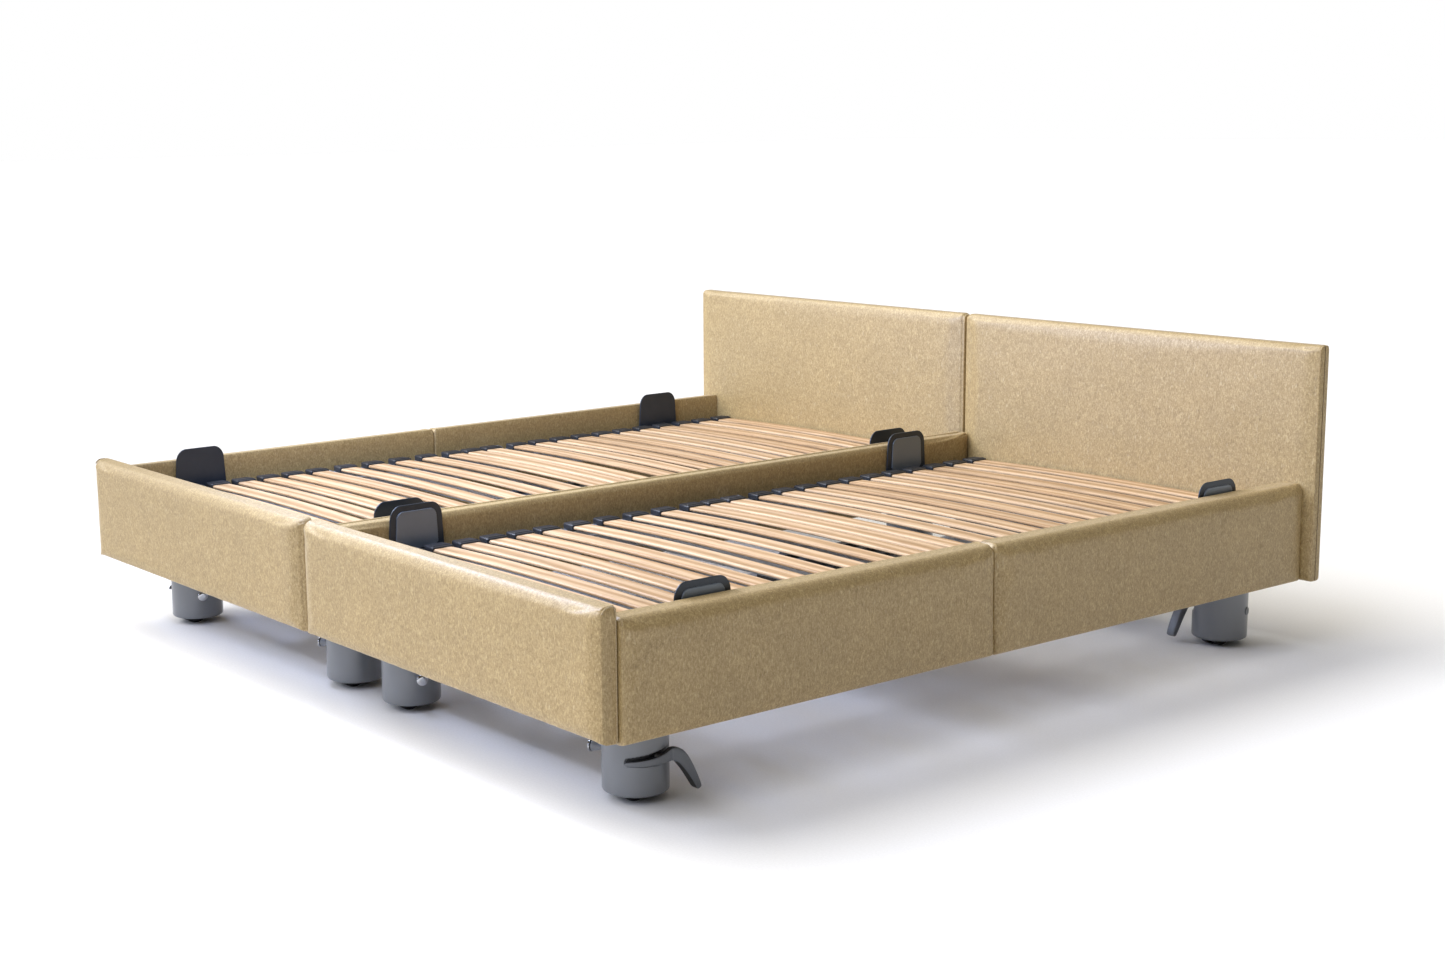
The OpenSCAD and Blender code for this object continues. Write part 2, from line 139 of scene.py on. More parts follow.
def make_studio():
    """Pale floor, two wide suns from the left and the front, and two cool softboxes."""
    make_world()
    sun_light("key", (-0.86, -0.5, 1.0), 2.5, 44, (1.0, 0.99, 0.965))
    sun_light("front", (-0.1, -1.0, 0.75), 1.12, 50, (0.9, 1.0, 1.28))
    area_light("softbox", (-4.2, -4.6, 1.1), (0.0, -0.2, 0.4), (3.0, 1.8), 36, (0.9, 0.98, 1.24))
    area_light("headboard_fill", (-0.5, -0.98, 1.25), (0.0, 1.05, 0.6), (1.9, 0.5), 36,
               (0.85, 1.02, 1.55))
    bm = bmesh.new()
    bmesh.ops.create_grid(bm, x_segments=1, y_segments=1, size=FLOOR_HALF)
    me = bpy.data.meshes.new("floor")
    bm.to_mesh(me)
    bm.free()
    floor = bpy.data.objects.new("floor", me)
    bpy.context.scene.collection.objects.link(floor)
    mat, nt, bsdf = new_material("floor_white")
    tex = noise_node(nt, 210, 5, 0.7)
    ramp = ramp_node(
        nt, tex.outputs[0], [(0.3, (0.845, 0.838, 0.832)), (0.7, (0.915, 0.908, 0.902))]
    )
    nt.links.new(ramp.outputs[0], bsdf.inputs["Base Color"])
    bsdf.inputs["Roughness"].default_value = 0.9
    bsdf.inputs["Specular IOR Level"].default_value = 0.0
    me.materials.append(mat)
    scene = bpy.context.scene
    scene.view_settings.view_transform = "Standard"
    scene.view_settings.look = "None"


# ---------- Material helpers ----------

def new_material(name):
    """Empty node material with a Principled shader."""
    mat = bpy.data.materials.new(name)
    mat.use_nodes = True
    nt = mat.node_tree
    nt.nodes.clear()
    out = nt.nodes.new("ShaderNodeOutputMaterial")
    bsdf = nt.nodes.new("ShaderNodeBsdfPrincipled")
    nt.links.new(bsdf.outputs[0], out.inputs[0])
    return mat, nt, bsdf


def object_coords(nt, scale):
    """Object coordinates, scaled along each axis."""
    tc = nt.nodes.new("ShaderNodeTexCoord")
    mp = nt.nodes.new("ShaderNodeMapping")
    mp.inputs["Scale"].default_value = scale
    nt.links.new(tc.outputs["Object"], mp.inputs["Vector"])
    return mp.outputs[0]


def noise_node(nt, scale, detail, rough, stretch=(1, 1, 1), distortion=0.0):
    """Noise texture over the object's own coordinates."""
    n = nt.nodes.new("ShaderNodeTexNoise")
    n.inputs["Scale"].default_value = scale
    n.inputs["Detail"].default_value = detail
    n.inputs["Roughness"].default_value = rough
    n.inputs["Distortion"].default_value = distortion
    nt.links.new(object_coords(nt, stretch), n.inputs["Vector"])
    return n


def ramp_node(nt, value, stops):
    """Colour ramp with stops of (position, colour)."""
    r = nt.nodes.new("ShaderNodeValToRGB")
    els = r.color_ramp.elements
    while len(els) < len(stops):
        els.new(0.5)
    for e, (pos, col) in zip(els, stops):
        e.position = pos
        e.color = (*col, 1)
    nt.links.new(value, r.inputs[0])
    return r


def math_node(nt, op, a, b):
    """Math node on two sockets or numbers."""
    m = nt.nodes.new("ShaderNodeMath")
    m.operation = op
    for i, v in enumerate((a, b)):
        if isinstance(v, (int, float)):
            m.inputs[i].default_value = v
        else:
            nt.links.new(v, m.inputs[i])
    return m.outputs[0]


def mix_colour(nt, fac, a, b, blend="MIX"):
    """Colour mix of two sockets or colours."""
    m = nt.nodes.new("ShaderNodeMix")
    m.data_type = "RGBA"
    m.blend_type = blend
    for socket, v in ((m.inputs[0], fac), (m.inputs[6], a), (m.inputs[7], b)):
        if isinstance(v, (int, float)):
            socket.default_value = v
        elif isinstance(v, tuple):
            socket.default_value = (*v, 1)
        else:
            nt.links.new(v, socket)
    return m.outputs[2]


def add_bump(nt, bsdf, height, strength, distance):
    """Relief from a height socket, distance metres deep."""
    b = nt.nodes.new("ShaderNodeBump")
    b.inputs["Strength"].default_value = strength
    b.inputs["Distance"].default_value = distance
    nt.links.new(height, b.inputs["Height"])
    nt.links.new(b.outputs[0], bsdf.inputs["Normal"])


# ---------- Materials ----------

def fabric_material():
    """Woven melange cloth: short upright threads, light and dark yarns, and soft mottling."""
    mat, nt, bsdf = new_material("melange_fabric")
    warp = noise_node(nt, 430, 2, 0.6, (1, 1, 0.3), 0.4)
    weft = noise_node(nt, 520, 2, 0.6, (0.35, 0.35, 1))
    mottle = noise_node(nt, 122, 2, 0.6, (1, 1, 0.7), 1.7)
    cloud = noise_node(nt, 8, 4, 0.55)
    upright = math_node(nt, "MULTIPLY", warp.outputs[0], 0.42)
    across = math_node(nt, "MULTIPLY", weft.outputs[0], 0.18)
    blotch = math_node(nt, "MULTIPLY", mottle.outputs[0], 0.4)
    yarn = math_node(nt, "ADD", math_node(nt, "ADD", upright, across), blotch)
    base = ramp_node(
        nt,
        yarn,
        [(0.35, (0.222, 0.142, 0.042)), (0.5, (0.342, 0.23, 0.08)), (0.66, (0.51, 0.375, 0.165))],
    )
    fleck = noise_node(nt, 260, 1, 0.5, (1, 1, 0.22))
    light = ramp_node(nt, fleck.outputs[0], [(0.67, (0.0, 0.0, 0.0)), (0.75, (1, 1, 1))])
    amount = math_node(nt, "MULTIPLY", light.outputs[0], 0.28)
    col = mix_colour(nt, amount, base.outputs[0], (0.72, 0.6, 0.38))
    soft = ramp_node(
        nt, cloud.outputs[0], [(0.35, (0.965, 0.965, 0.96)), (0.65, (1.03, 1.03, 1.025))]
    )
    col = mix_colour(nt, 1.0, col, soft.outputs[0], "MULTIPLY")
    nt.links.new(col, bsdf.inputs["Base Color"])
    gloss = ramp_node(nt, yarn, [(0.4, (0.6,) * 3), (0.6, (0.49,) * 3)])
    nt.links.new(gloss.outputs[0], bsdf.inputs["Roughness"])
    bsdf.inputs["Specular IOR Level"].default_value = 1.0
    bsdf.inputs["Sheen Weight"].default_value = 0.25
    bsdf.inputs["Sheen Roughness"].default_value = 0.35
    bsdf.inputs["Sheen Tint"].default_value = (1.0, 0.95, 0.84, 1)
    add_bump(nt, bsdf, yarn, 0.4, 0.0012)
    return mat


def hem_material(name, dark, light):
    """Turned-over edge of the cloth."""
    mat, nt, bsdf = new_material(name)
    n = noise_node(nt, 420, 3, 0.7)
    r = ramp_node(nt, n.outputs[0], [(0.3, dark), (0.7, light)])
    nt.links.new(r.outputs[0], bsdf.inputs["Base Color"])
    bsdf.inputs["Roughness"].default_value = 0.8
    bsdf.inputs["Sheen Weight"].default_value = 0.4
    add_bump(nt, bsdf, n.outputs[0], 0.6, 0.0008)
    return mat


def plastic_material(name, dark, light, rough, grain=600, bump=0.12, vary=0.08, gloss=0.5):
    """Moulded plastic: faint tone changes and a fine grain in gloss and relief."""
    mat, nt, bsdf = new_material(name)
    n = noise_node(nt, 9, 3, 0.5)
    r = ramp_node(nt, n.outputs[0], [(0.3, dark), (0.7, light)])
    nt.links.new(r.outputs[0], bsdf.inputs["Base Color"])
    fine = noise_node(nt, grain, 2, 0.6)
    low, high = rough - vary / 2, rough + vary
    rr = ramp_node(nt, fine.outputs[0], [(0.3, (low,) * 3), (0.7, (high,) * 3)])
    nt.links.new(rr.outputs[0], bsdf.inputs["Roughness"])
    bsdf.inputs["Specular IOR Level"].default_value = gloss
    add_bump(nt, bsdf, fine.outputs[0], bump, 0.0003)
    return mat


def painted_steel(name, dark, light, rough):
    """Powder coat: orange-peel bump and slightly worn, brighter high spots."""
    mat, nt, bsdf = new_material(name)
    wide = noise_node(nt, 5, 4, 0.55)
    r = ramp_node(nt, wide.outputs[0], [(0.3, dark), (0.7, light)])
    scratch = noise_node(nt, 90, 3, 0.7, (0.05, 1, 1))
    wear = ramp_node(nt, scratch.outputs[0], [(0.68, (0, 0, 0)), (0.78, (1, 1, 1))])
    tone = tuple(min(1.0, c * 1.25 + 0.03) for c in light)
    col = mix_colour(nt, math_node(nt, "MULTIPLY", wear.outputs[0], 0.35), r.outputs[0], tone)
    nt.links.new(col, bsdf.inputs["Base Color"])
    bsdf.inputs["Metallic"].default_value = 0.35
    peel = noise_node(nt, 380, 2, 0.5)
    rr = ramp_node(nt, peel.outputs[0], [(0.3, (rough - 0.06,) * 3), (0.7, (rough + 0.08,) * 3)])
    nt.links.new(rr.outputs[0], bsdf.inputs["Roughness"])
    add_bump(nt, bsdf, peel.outputs[0], 0.18, 0.0004)
    return mat


def chrome_material():
    """Chrome with faint smears."""
    mat, nt, bsdf = new_material("chrome")
    n = noise_node(nt, 60, 3, 0.6)
    r = ramp_node(nt, n.outputs[0], [(0.3, (0.42, 0.43, 0.45)), (0.7, (0.52, 0.53, 0.55))])
    nt.links.new(r.outputs[0], bsdf.inputs["Base Color"])
    bsdf.inputs["Metallic"].default_value = 1.0
    rr = ramp_node(nt, n.outputs[0], [(0.3, (0.06,) * 3), (0.7, (0.14,) * 3)])
    nt.links.new(rr.outputs[0], bsdf.inputs["Roughness"])
    return mat


def wood_material():
    """Laminated beech: long grain along x with fine pores."""
    mat, nt, bsdf = new_material("beech_slat")
    rings = nt.nodes.new("ShaderNodeTexWave")
    rings.wave_type = "BANDS"
    rings.bands_direction = "Y"
    rings.inputs["Scale"].default_value = 9
    rings.inputs["Distortion"].default_value = 5
    rings.inputs["Detail"].default_value = 3
    rings.inputs["Detail Scale"].default_value = 1.2
    nt.links.new(object_coords(nt, (0.12, 1, 1)), rings.inputs["Vector"])
    base = ramp_node(nt, rings.outputs[0], [(0.1, (0.41, 0.25, 0.12)), (0.9, (0.6, 0.415, 0.24))])
    pores = noise_node(nt, 240, 4, 0.7, (0.04, 1, 1))
    dark = ramp_node(nt, pores.outputs[0], [(0.36, (0.62, 0.62, 0.62)), (0.5, (1, 1, 1))])
    tone = noise_node(nt, 3.1, 2, 0.5, (0.2, 4, 1))
    vary = ramp_node(nt, tone.outputs[0], [(0.3, (0.88, 0.86, 0.84)), (0.7, (1.06, 1.05, 1.04))])
    col = mix_colour(nt, 0.8, base.outputs[0], dark.outputs[0], "MULTIPLY")
    col = mix_colour(nt, 1.0, col, vary.outputs[0], "MULTIPLY")
    nt.links.new(col, bsdf.inputs["Base Color"])
    bsdf.inputs["Roughness"].default_value = 0.6
    bsdf.inputs["Specular IOR Level"].default_value = 0.35
    add_bump(nt, bsdf, pores.outputs[0], 0.15, 0.0004)
    return mat


def rubber_material():
    """Dull, grainy tread rubber."""
    mat, nt, bsdf = new_material("wheel_rubber")
    n = noise_node(nt, 300, 3, 0.7)
    r = ramp_node(nt, n.outputs[0], [(0.3, (0.012, 0.012, 0.013)), (0.7, (0.035, 0.035, 0.037))])
    nt.links.new(r.outputs[0], bsdf.inputs["Base Color"])
    bsdf.inputs["Roughness"].default_value = 0.68
    add_bump(nt, bsdf, n.outputs[0], 0.3, 0.0004)
    return mat


MAT = {
    "fabric": fabric_material(),
    "hem": hem_material("fabric_hem", (0.28, 0.195, 0.085), (0.52, 0.4, 0.22)),
    # Darker copy of the hem cloth for the headboard's seam: painted shade along the seam's crease
    "seam": hem_material("painted_seam_shade", (0.1, 0.066, 0.026), (0.19, 0.13, 0.055)),
    "frame": painted_steel("frame_paint", (0.36, 0.37, 0.385), (0.43, 0.44, 0.455), 0.38),
    "retainer": painted_steel("retainer_paint", (0.026, 0.034, 0.045), (0.044, 0.054, 0.068), 0.36),
    # Lighter copy of the retainer paint for the raised pads: a painted highlight
    "pad": painted_steel("retainer_pad_highlight", (0.15, 0.18, 0.215), (0.195, 0.225, 0.265), 0.34),
    "cover": plastic_material(
        "cover_blue_grey", (0.162, 0.172, 0.187), (0.176, 0.187, 0.203), 0.28,
        grain=240, bump=0.03, vary=0.012, gloss=0.9,
    ),
    "pedal": plastic_material("pedal_blue_grey", (0.13, 0.14, 0.155), (0.165, 0.176, 0.195), 0.3),
    "black": plastic_material(
        "black_plastic", (0.012, 0.013, 0.015), (0.03, 0.031, 0.034), 0.42, grain=450, bump=0.25
    ),
    "drive": plastic_material(
        "drive_plastic", (0.035, 0.037, 0.042), (0.055, 0.058, 0.064), 0.5, grain=300, bump=0.35
    ),
    "pusher": plastic_material("pusher_acetal", (0.62, 0.6, 0.55), (0.74, 0.72, 0.67), 0.35),
    "chrome": chrome_material(),
    "wood": wood_material(),
    "rubber": rubber_material(),
}


# ---------- Mesh helpers ----------

def mirrored(verts, faces, m):
    """Mesh data as it is for the right base, or mirrored for the left one."""
    if m == 1:
        return verts, faces
    return [(-x, y, z) for x, y, z in verts], [tuple(reversed(f)) for f in faces]


def mesh_piece(name, verts, faces, body, mats, replaces=(), smooth=True):
    """One visible piece that rides on a body and may stand for CAD nodes."""
    me = bpy.data.meshes.new(name)
    me.from_pydata([tuple(v) for v in verts], [], faces)
    me.validate()
    me.update()
    for m in mats if isinstance(mats, (list, tuple)) else [mats]:
        me.materials.append(m)
    if smooth:
        me.polygons.foreach_set("use_smooth", [True] * len(me.polygons))
    o = bpy.data.objects.new(name, me)
    bpy.context.scene.collection.objects.link(o)
    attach(o, body)
    if replaces:
        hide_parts(*replaces)
    return o


def join_parts(parts):
    """One vertex and face list from several."""
    verts, faces = [], []
    for v, f in parts:
        k = len(verts)
        verts += list(v)
        faces += [tuple(i + k for i in q) for q in f]
    return verts, faces


def spaced(lo, hi, r_lo, r_hi, step):
    """Grid lines from lo to hi, close together within the rounding at both ends."""
    margin = (0, 0.1, 0.24, 0.4, 0.58, 0.78, 1.0)
    a, b = lo + r_lo, hi - r_hi
    n = max(1, round((b - a) / step))
    mid = [a + (b - a) * i / n for i in range(1, n)]
    return [lo + r_lo * t for t in margin] + mid + [hi - r_hi * t for t in reversed(margin)]


def lattice_shell(lo, hi, radii, step):
    """Box surface as a quad grid with rounded edges. radii holds, for each axis, one radius or a
    pair for its low and high ends."""
    pairs = [r if isinstance(r, tuple) else (r, r) for r in radii]
    ax = [spaced(lo[i], hi[i], *pairs[i], step[i]) for i in range(3)]
    n = [len(a) for a in ax]
    index, verts, faces = {}, [], []

    def vid(*key):
        """Index of the point at a grid key, which is made when first asked for."""
        if key not in index:
            index[key] = len(verts)
            verts.append([ax[i][key[i]] for i in range(3)])
        return index[key]

    for axis in range(3):
        b, c = (axis + 1) % 3, (axis + 2) % 3
        for end in (0, n[axis] - 1):
            for i in range(n[b] - 1):
                for j in range(n[c] - 1):
                    quad = []
                    for di, dj in ((0, 0), (1, 0), (1, 1), (0, 1)):
                        key = [0, 0, 0]
                        key[axis], key[b], key[c] = end, i + di, j + dj
                        quad.append(vid(*key))
                    faces.append(tuple(quad) if end else tuple(reversed(quad)))
    v = np.array(verts)
    lo, hi = np.array(lo), np.array(hi)
    r_lo, r_hi = (np.array([q[k] for q in pairs]) for k in (0, 1))
    inner = np.clip(v, lo + r_lo, hi - r_hi)
    r = np.where(v < inner, r_lo, r_hi)
    d = (v - inner) / r
    length = np.maximum(np.linalg.norm(d, axis=1, keepdims=True), 1e-9)
    return inner + d / length * r, faces


# ---------- Upholstered panels ----------

# Grid step of a panel's cover, frames of its simulation, and the furthest that a point may move
PANEL_STEP = 0.013
PUFF_FRAMES = 20
PUFF_CAP = 0.004
# Depths of the cover's dents, of the puckers at its edges, and of the ripples along its bottom
DENT, PUCKER, RIPPLE = 0.0007, 0.0008, 0.0018
# How far the halves of a side panel are drawn together, and the room for the inner retainers
JOINT_CLOSE = 0.0012
RETAINER_ROOM = 0.003
# Thickness axis, rounding radii at the low and high end of each axis, and the sides that lie flat
PANELS = {
    "foot_panel": (1, ((0.016, 0.006), (0.021, 0.005), (0.009, 0.026)), [(1, 1)]),
    "headboard": (1, ((0.014, 0.006), (0.017, 0.01), (0.009, 0.018)), [(2, -1)]),
    "side_panel_foot": (0, ((0.006, 0.022), (0.006, 0.008), (0.01, 0.028)), [(0, -1), (2, -1)]),
    "side_panel_head": (0, ((0.006, 0.022), (0.008, 0.005), (0.01, 0.028)), [(0, -1), (2, -1)]),
    "inner_panel": (0, ((0.008, 0.008), (0.008, 0.008), (0.006, 0.014)), [(0, -1), (2, -1)]),
}


def puff(name, verts, faces, pinned):
    """The cover of a padded board, swelled by a short cloth simulation. Pinned points stay."""
    me = bpy.data.meshes.new(name + "_sim")
    me.from_pydata([tuple(v) for v in verts], [], faces)
    o = bpy.data.objects.new(name + "_sim", me)
    bpy.context.scene.collection.objects.link(o)
    group = o.vertex_groups.new(name="pin")
    group.add([int(i) for i in np.nonzero(pinned)[0]], 1.0, "REPLACE")
    cloth = o.modifiers.new("cloth", "CLOTH")
    s = cloth.settings
    s.quality = 4
    s.mass = 0.25
    s.tension_stiffness = 18
    s.compression_stiffness = 12
    s.bending_stiffness = 0.6
    s.vertex_group_mass = "pin"
    s.use_pressure = True
    s.uniform_pressure_force = 4
    s.effector_weights.gravity = 0
    cloth.collision_settings.use_collision = False
    cloth.point_cache.frame_start, cloth.point_cache.frame_end = 1, PUFF_FRAMES
    scene = bpy.context.scene
    for f in range(1, PUFF_FRAMES + 1):
        scene.frame_set(f)
    dg = bpy.context.evaluated_depsgraph_get()
    ev = o.evaluated_get(dg)
    co = np.zeros(len(me.vertices) * 3)
    ev.data.vertices.foreach_get("co", co)
    scene.frame_set(1)
    move = co.reshape(-1, 3) - verts
    length = np.maximum(np.linalg.norm(move, axis=1, keepdims=True), 1e-9)
    move *= np.minimum(1.0, PUFF_CAP / length)
    bpy.data.objects.remove(o)
    bpy.data.meshes.remove(me)
    return verts + move


def panel_mesh(name, lo, hi, thin, radii, hidden):
    """Padded board between two corners. thin is the axis of its thickness; hidden holds the sides,
    as (axis, sign), that lie against something and stay flat."""
    lo, hi = np.array(lo), np.array(hi)
    long_axis = 1 - thin
    v, faces = lattice_shell(lo, hi, radii, (PANEL_STEP,) * 3)
    size = hi - lo
    u = (v - lo) / size
    to_end = np.minimum(u[:, long_axis], 1 - u[:, long_axis]) * size[long_axis]
    pinned = to_end < 0.002
    for axis, sign in hidden:
        far = hi[axis] - v[:, axis] if sign > 0 else v[:, axis] - lo[axis]
        pinned |= far < 0.004
    v = puff(name, v, faces, pinned)
    dents = np.array([noise.noise(Vector(p) * 8.0) + 0.6 * noise.noise(Vector(p) * 27.0) for p in v])
    pull = np.array([noise.noise(Vector((p[long_axis] * 52.0, 3.0, p[2] * 6.0))) for p in v])
    near_edge = np.exp(-np.minimum(u[:, 2], 1 - u[:, 2]) * size[2] / 0.03)
    centre = (lo + hi) / 2
    away = np.clip((v[:, thin] - centre[thin]) / size[thin] * 3, -1, 1)
    free = ~pinned
    v[free, thin] += (away * (dents * DENT + pull * near_edge * PUCKER))[free]
    down = np.clip(1 - u[:, 2] * size[2] / 0.012, 0, 1)
    ripple = np.array([noise.noise(Vector((p[long_axis] * 85.0, 7.0, 1.0))) for p in v])
    v[free, 2] += (down * ripple * RIPPLE)[free]
    return v, faces


def make_panels():
    """Upholstered boards: the right base's covers, and their mirror images on the left one."""
    for node, (thin, radii, hidden) in PANELS.items():
        lo, hi = (Vector(corner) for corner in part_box("right_" + node))
        if node == "side_panel_foot":
            hi.y += JOINT_CLOSE
        elif node == "side_panel_head":
            lo.y -= JOINT_CLOSE
        elif node == "inner_panel":
            hi.x -= RETAINER_ROOM
        v, f = panel_mesh(node, lo, hi, thin, radii, hidden)
        for side, m in SIDES.items():
            verts, faces = mirrored([tuple(p) for p in v], f, m)
            o = mesh_piece(f"{side}_{node}_cover", verts, faces, f"{side}_lying_frame", MAT["fabric"],
                           [f"{side}_{node}"])
            sub = o.modifiers.new("smooth", "SUBSURF")
            sub.levels = sub.render_levels = 1


def hem_strip(name, side, points, width, look):
    """Narrow folded edge of cloth along a line of points, slightly proud towards the outside."""
    verts, faces = [], []
    n = Vector((1, 0, 0))
    for i, p in enumerate(points):
        p = Vector(p)
        t = (Vector(points[min(i + 1, len(points) - 1)]) - Vector(points[max(i - 1, 0)])).normalized()
        w = t.cross(n).normalized() * width / 2
        jitter = noise.noise(p * 60) * 0.0003
        section = ((-1, -0.0008), (-0.8, 0.0007 + jitter), (0, 0.0012 + jitter), (0.8, 0.0007),
                   (1, -0.0008))
        for a, h in section:
            verts.append(tuple(p + w * a + n * h))
    for i in range(len(points) - 1):
        for k in range(4):
            a = i * 5 + k
            faces.append((a, a + 1, a + 6, a + 5))
        faces.append((i * 5 + 4, i * 5, i * 5 + 5, i * 5 + 9))
    faces.append((0, 1, 2, 3, 4))
    e = (len(points) - 1) * 5
    faces.append((e + 4, e + 3, e + 2, e + 1, e))
    verts, faces = mirrored(verts, faces, SIDES[side])
    mesh_piece(f"{side}_{name}", verts, faces, f"{side}_lying_frame", MAT[look])


def foot_panel_seam():
    """Points around a foot panel's outer end: up its back edge, then along its rounded top."""
    lo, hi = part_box("right_foot_panel")
    radii = PANELS["foot_panel"][1]
    r_y, r_z = radii[1][0], radii[2][1]
    edge = 0.0028
    back, top = hi.y - 0.003, hi.z - edge
    pts = [(back, lo.z + 0.004 + (top - 0.006 - lo.z - 0.004) * i / 60) for i in range(61)]
    pts += [(back - 0.002, top - 0.002), (back - 0.006, top)]
    front = lo.y + r_y
    pts += [(back - 0.006 + (front - back + 0.006) * i / 6, top) for i in range(1, 7)]
    for i in range(1, 6):
        a = math.pi / 2 * i / 8
        pts.append((front - (r_y - edge) * math.sin(a), hi.z - r_z + (r_z - edge) * math.cos(a)))
    return [(hi.x + 0.0004, y, z) for y, z in pts]


def headboard_seam():
    """Points up a headboard's outer end, just behind the rounding of its front."""
    lo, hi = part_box("right_headboard")
    y, top = lo.y + PANELS["headboard"][1][1][0] + 0.002, hi.z - 0.006
    return [(hi.x, y, lo.z + 0.004 + (top - lo.z - 0.004) * i / 60) for i in range(61)]


def make_hems():
    """Seams at the covers' outer ends. The headboard's seam is a dark strip, painted shade along its
    crease.
    """
    for side in SIDES:
        hem_strip("foot_panel_hem", side, foot_panel_seam(), 0.003, "hem")
        # Dark strip at the headboard's end: painted shade along the seam's crease
        hem_strip("headboard_hem", side, headboard_seam(), 0.0022, "seam")


# ---------- Slats, holders and retainers ----------

SLAT_BODIES = {
    "seat": "lying_frame",
    "back": "back_section",
    "thigh": "thigh_section",
    "calf": "calf_section",
}
SLAT_COUNTS = {"seat": 3, "back": 11, "thigh": 4, "calf": 8}
SLAT_WIDTH = 0.05
# How far a slat bends up in its middle, and the bevel of its long edges
SLAT_RISE, SLAT_EDGE = 0.008, 0.0025
# Length, width and height of the cap on a slat's end
HOLDER = (0.042, SLAT_WIDTH + 0.008, 0.016)
# How far the arms of the outer and the inner retainers reach to their section's frame
RETAINER_REACH = {"back": (0.024, 0.031), "calf": (0.046, 0.053)}
# Thickness of a retainer's plate, and the margin around its raised pad
PLATE, PAD_MARGIN = 0.004, 0.018


def slat_data(x0, x1, y0, z0, z1):
    """Sprung slat: bent upwards along x, with rounded long edges."""
    n = 24
    y1 = y0 + SLAT_WIDTH
    e = SLAT_EDGE
    ring = [(y0, z0 + e), (y0, z1 - e), (y0 + e, z1), (y1 - e, z1),
            (y1, z1 - e), (y1, z0 + e), (y1 - e, z0), (y0 + e, z0)]
    verts, faces = [], []
    for i in range(n + 1):
        t = i / n
        x = x0 + (x1 - x0) * t
        lift = SLAT_RISE * (1 - (2 * t - 1) ** 2)
        verts += [(x, y, z + lift) for y, z in ring]
    for i in range(n):
        for k in range(8):
            a, b = i * 8 + k, i * 8 + (k + 1) % 8
            faces.append((a, b, b + 8, a + 8))
    faces.append(tuple(range(7, -1, -1)))
    faces.append(tuple(n * 8 + k for k in range(8)))
    return verts, faces


def holder_data(cx, cy, z0, direction):
    """Cap on a slat's end: a rounded block, narrower at its outer end, with a lip on top."""
    length, width, height = HOLDER
    parts = []
    lo = (cx - length / 2, cy - width / 2, z0)
    hi = (cx + length / 2, cy + width / 2, z0 + height)
    v, f = lattice_shell(lo, hi, (0.004, 0.005, 0.004), (0.02, 0.03, 0.02))
    v = np.array(v)
    taper = 1 - 0.12 * np.clip((v[:, 0] - cx) * direction / (length / 2), 0, 1)
    v[:, 1] = cy + (v[:, 1] - cy) * taper
    parts.append((v.tolist(), f))
    lip = cx - direction * length * 0.28
    v, f = lattice_shell((lip - 0.003, cy - width * 0.42, z0 + height - 0.002),
                         (lip + 0.003, cy + width * 0.42, z0 + height + 0.0015),
                         (0.001, 0.001, 0.001), (0.01, 0.03, 0.01))
    parts.append((v.tolist(), f))
    return join_parts(parts)


def make_slats():
    """Slats and their holders on the four sections of each base."""
    for part, n in SLAT_COUNTS.items():
        lo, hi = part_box(f"right_{part}_slats")
        step = (hi.y - lo.y - SLAT_WIDTH) / (n - 1)
        slats, caps = [], []
        for i in range(n):
            y0 = lo.y + i * step
            z0, z1 = lo.z + 0.0015, lo.z + 0.0095
            slats.append(slat_data(lo.x + 0.004, hi.x - 0.004, y0, z0, z1))
            for x, d in ((lo.x + 0.016, -1), (hi.x - 0.016, 1)):
                caps.append(holder_data(x, y0 + SLAT_WIDTH / 2, lo.z - 0.001, d))
        for side, m in SIDES.items():
            body = f"{side}_{SLAT_BODIES[part]}"
            v, f = mirrored(*join_parts(slats), m)
            mesh_piece(f"{side}_{part}_slats_bent", v, f, body, MAT["wood"],
                       [f"{side}_{part}_slats"], smooth=False)
            v, f = mirrored(*join_parts(caps), m)
            mesh_piece(f"{side}_{part}_slat_holders", v, f, body, MAT["black"])


def rounded_outline(w, h, r_low, r_top):
    """Outline of a plate with round top corners, anticlockwise from the lower left."""
    n = 8
    pts = [(r_low, 0), (w - r_low, 0), (w, r_low)]
    for i in range(n + 1):
        a = math.pi / 2 * i / n
        pts.append((w - r_top + r_top * math.cos(a), h - r_top + r_top * math.sin(a)))
    for i in range(n + 1):
        a = math.pi / 2 + math.pi / 2 * i / n
        pts.append((r_top + r_top * math.cos(a), h - r_top + r_top * math.sin(a)))
    pts.append((0, r_low))
    return pts


def plate_data(outline, x0, x1, y, z):
    """Outline in y and z, extruded along x."""
    n = len(outline)
    verts = [(x0, y + a, z + b) for a, b in outline] + [(x1, y + a, z + b) for a, b in outline]
    faces = [tuple(range(n))[::-1], tuple(range(n, 2 * n))]
    faces += [(i, (i + 1) % n, (i + 1) % n + n, i + n) for i in range(n)]
    return verts, faces


def tapered(outline, lean):
    """Outline whose sides lean inwards towards the top."""
    h = max(p[1] for p in outline)
    w = max(p[0] for p in outline)
    return [(w / 2 + (x - w / 2) * (1 - lean * y / h), y) for x, y in outline]


